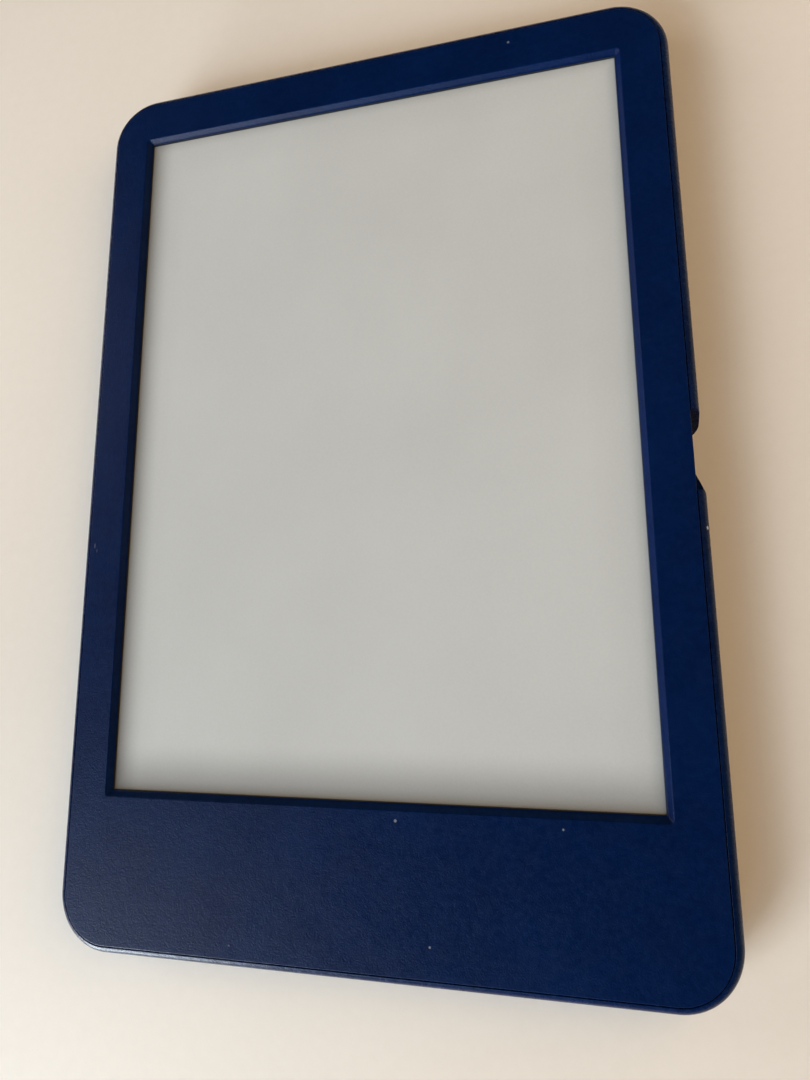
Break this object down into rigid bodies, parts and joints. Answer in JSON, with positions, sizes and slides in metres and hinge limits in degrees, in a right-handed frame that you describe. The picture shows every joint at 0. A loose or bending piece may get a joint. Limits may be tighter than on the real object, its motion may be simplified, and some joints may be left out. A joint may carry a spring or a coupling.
{
  "type": "e-reader",
  "caption": "Slim six-inch e-reader: flat matte front bezel round a recessed paper-like screen, one-piece rear shell, charging socket and sliding power button in the bottom edge.",
  "frame": {"origin": "centre of the flat back face, on the surface the reader rests on", "axes": "+X to the reader's right as the screen is read, +Y towards the top edge of the screen (the long way), +Z out of the screen"},
  "size_m": [0.1086, 0.1578, 0.008],
  "materials": {
    "cover_plastic": "moulded navy polycarbonate with a fine even spark-eroded grain, satin at a low angle",
    "bezel_plastic": "moulded navy polycarbonate, fine matte grain, a thin polished edge and light handling scratches",
    "button_plastic": "the same navy plastic as the cover",
    "screen_film": "etched anti-glare film over a blank grey-white electronic-paper page",
    "black_foam": "compressed black foam",
    "adhesive_tape": "thin double-sided tape",
    "clear_optic": "clear polycarbonate sheet",
    "light_pipe_clear": "clear moulded light pipe with a frosted tip",
    "panel_glass": "thin-film transistor glass",
    "eink_layer": "electronic-paper capsule laminate",
    "frame_metal": "die-cast light alloy, bead blasted",
    "circuit_board": "green solder mask",
    "flex_amber": "polyimide ribbon",
    "flex_black": "black covered polyimide ribbon",
    "chip_black": "black moulded package",
    "shield_steel": "tinned pressed steel",
    "socket_steel": "drawn nickel-plated steel",
    "socket_tongue": "black moulding with plated contacts",
    "connector_plastic": "cream moulded housing",
    "screw_steel": "zinc-plated steel",
    "battery_foil": "laminated foil pouch",
    "wire_black": "insulated lead",
    "wire_white": "insulated lead",
    "wire_red": "insulated lead",
    "led_lens": "small moulded light-emitting diode",
    "switch_black": "side-push tactile switch housing",
    "gold_contact": "gold-plated spring strip"
  },
  "bodies": {
    "body": {"rear_cover": "cover_plastic", "front_bezel": "bezel_plastic", "mid_frame": "frame_metal", "eink_backplane": "panel_glass", "eink_front_plane": "eink_layer", "light_guide": "clear_optic", "touch_sensor": "clear_optic", "front_film": "screen_film", "panel_driver_chip": "chip_black", "display_gasket": "black_foam", "bezel_adhesive": "adhesive_tape", "front_light_led_1": "led_lens", "front_light_led_2": "led_lens", "front_light_led_3": "led_lens", "front_light_led_4": "led_lens", "panel_flex": "flex_amber", "touch_flex": "flex_amber", "light_strip_flex": "flex_black", "main_board": "circuit_board", "processor_chip": "chip_black", "memory_chip": "chip_black", "storage_chip": "chip_black", "power_chip": "chip_black", "power_inductor_1": "chip_black", "power_inductor_2": "chip_black", "wifi_module": "shield_steel", "hall_sensor": "chip_black", "processor_shield": "shield_steel", "power_shield": "shield_steel", "light_connector": "connector_plastic", "panel_connector": "connector_plastic", "touch_connector": "connector_plastic", "antenna_flex": "flex_black", "antenna_spring": "gold_contact", "battery_cell": "battery_foil", "battery_tape_1": "adhesive_tape", "battery_tape_2": "adhesive_tape", "battery_protection_board": "circuit_board", "battery_connector": "connector_plastic", "battery_plug": "connector_plastic", "battery_lead_black": "wire_black", "battery_lead_white": "wire_white", "battery_lead_red": "wire_red", "usb_c_shell": "socket_steel", "usb_c_tongue": "socket_tongue", "tact_switch_body": "switch_black", "light_pipe": "light_pipe_clear", "status_led": "led_lens", "board_screw_1": "screw_steel", "board_screw_2": "screw_steel", "board_screw_3": "screw_steel", "board_screw_4": "screw_steel", "frame_screw_1": "screw_steel", "frame_screw_2": "screw_steel", "frame_screw_3": "screw_steel", "frame_screw_4": "screw_steel", "frame_screw_5": "screw_steel", "frame_screw_6": "screw_steel"},
    "power_button": {"power_button": "button_plastic"},
    "switch_plunger": {"tact_switch_plunger": "connector_plastic"}
  },
  "joints": [
    {"name": "power_button_press", "type": "slide", "parent": "body", "child": "power_button", "axis": [0, 1, 0], "range_m": [0, 0.0003], "stiffness_N_per_m": 1500},
    {"name": "switch_plunger_press", "type": "slide", "parent": "body", "child": "switch_plunger", "axis": [0, 1, 0], "range_m": [0, 0.0003]}
  ],
  "couplings": [
    {"joint": "switch_plunger_press", "follows": "power_button_press", "ratio": 1}
  ]
}
